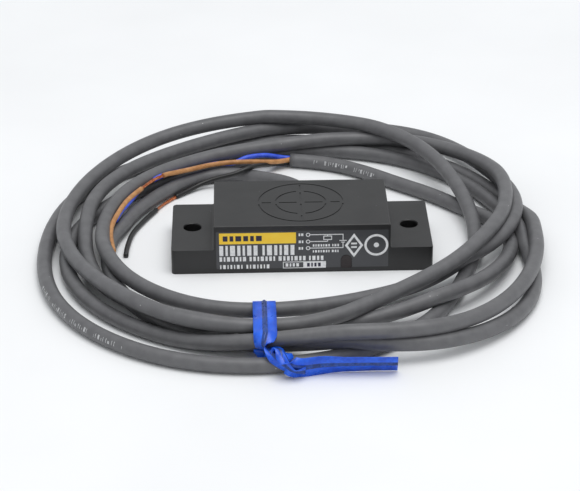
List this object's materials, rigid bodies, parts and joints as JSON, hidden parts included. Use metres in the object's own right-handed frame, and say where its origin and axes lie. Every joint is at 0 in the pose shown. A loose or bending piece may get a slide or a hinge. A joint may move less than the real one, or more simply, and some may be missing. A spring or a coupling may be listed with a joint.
{
  "type": "capacitive proximity sensor",
  "caption": "Flat rectangular capacitive proximity sensor with two mounting tabs, a target mark on its sensing face, an indicator window and a coiled cable with stripped wire ends.",
  "frame": {"origin": "centre of the underside of the sensor's case, which stands on z = 0", "axes": "+X along the case's length from one mounting tab to the other, -Y out of the nameplate, +Y out of the cable entry, +Z out of the sensing face"},
  "size_m": [0.0999, 0.1022, 0.01],
  "materials": {
    "black_abs": "satin moulded ABS, black",
    "label_film": null,
    "red_window": "tinted transparent plastic, dark red when unlit",
    "led_body": "clear epoxy chip indicator",
    "board": "glass epoxy laminate with green solder mask",
    "copper_foil": "etched copper foil",
    "tinned": "tinned metal",
    "chip_black": "moulded epoxy chip package",
    "tantalum_yellow": "yellow moulded epoxy",
    "trim_blue": "blue glazed resistor body",
    "resin": "dark cast epoxy resin",
    "bush_rubber": "black moulded rubber",
    "jacket_pvc": "dark grey extruded PVC",
    "core_brown": "brown extruded PVC insulation",
    "core_blue": "blue extruded PVC insulation",
    "core_black": "black extruded PVC insulation",
    "bare_copper": "bare stranded copper",
    "tie_blue": "blue polyethylene ribbon",
    "tie_steel": "thin iron wire"
  },
  "bodies": {
    "root": {"housing": "black_abs", "bottom_cover": "black_abs", "nameplate": "label_film", "indicator_window": "red_window", "indicator_led": "led_body", "circuit_board": "board", "electrode_board": "board", "sensing_electrode": "copper_foil", "guard_electrode": "copper_foil", "electrode_pins": "tinned", "oscillator_chip": "chip_black", "detector_chip": "chip_black", "voltage_regulator": "chip_black", "output_transistor": "chip_black", "surge_diode": "chip_black", "tantalum_capacitor": "tantalum_yellow", "trim_resistor": "trim_blue", "chip_resistors": "chip_black", "chip_capacitors": "tantalum_yellow", "solder_joints": "tinned", "potting_resin": "resin", "cable_bush": "bush_rubber", "cable_clamp": "tinned", "brown_lead": "core_brown", "blue_lead": "core_blue", "black_lead": "core_black", "cable_start": "jacket_pvc", "cable_coil": "jacket_pvc", "cable_end": "jacket_pvc", "brown_wire": "core_brown", "blue_wire": "core_blue", "black_wire": "core_black", "brown_strands": "bare_copper", "blue_strands": "bare_copper", "black_strands": "bare_copper", "brown_tip": "core_brown", "blue_tip": "core_blue", "black_tip": "core_black", "twist_tie": "tie_blue", "twist_tie_wire": "tie_steel"}
  },
  "joints": []
}
